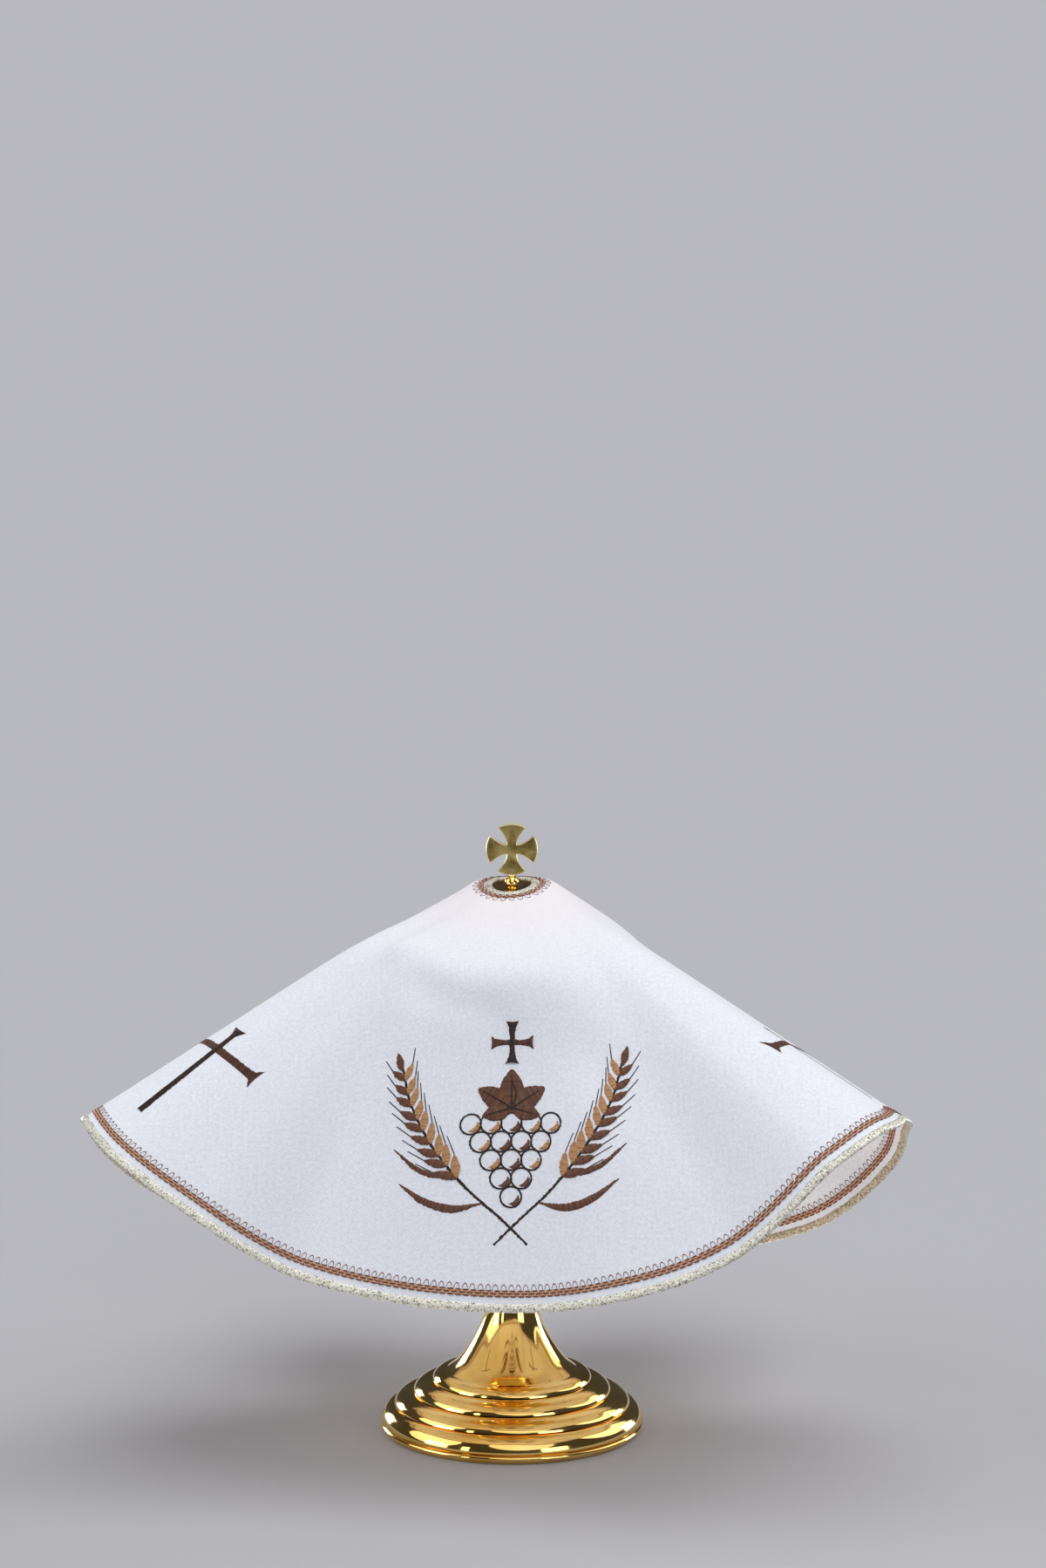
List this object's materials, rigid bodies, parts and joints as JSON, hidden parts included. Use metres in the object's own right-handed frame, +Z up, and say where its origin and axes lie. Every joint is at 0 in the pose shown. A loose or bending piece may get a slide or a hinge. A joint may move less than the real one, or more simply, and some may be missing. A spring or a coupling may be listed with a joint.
{
  "type": "ciborium veil on its ciborium",
  "caption": "Round white cloth veil with a bound centre hole and bound hem, hanging in soft folds over a plain gold lidded cup on a stepped foot.",
  "frame": {"origin": "centre of the foot's flat base, on the surface it stands on", "axes": "+Z up along the cup's axis, -Y towards the front of the veil, +X to its right seen from the front"},
  "size_m": [0.3682, 0.3319, 0.279],
  "materials": {
    "cloth": "plain matt weave",
    "binding": "pale gold metallic thread",
    "gold": "polished and gilt"
  },
  "bodies": {
    "root": {"veil_cloth": "cloth", "hem_binding": "binding", "hole_binding": "binding", "foot": "gold", "cup": "gold", "lid": "gold", "finial": "gold", "finial_cross": "gold"}
  },
  "joints": []
}
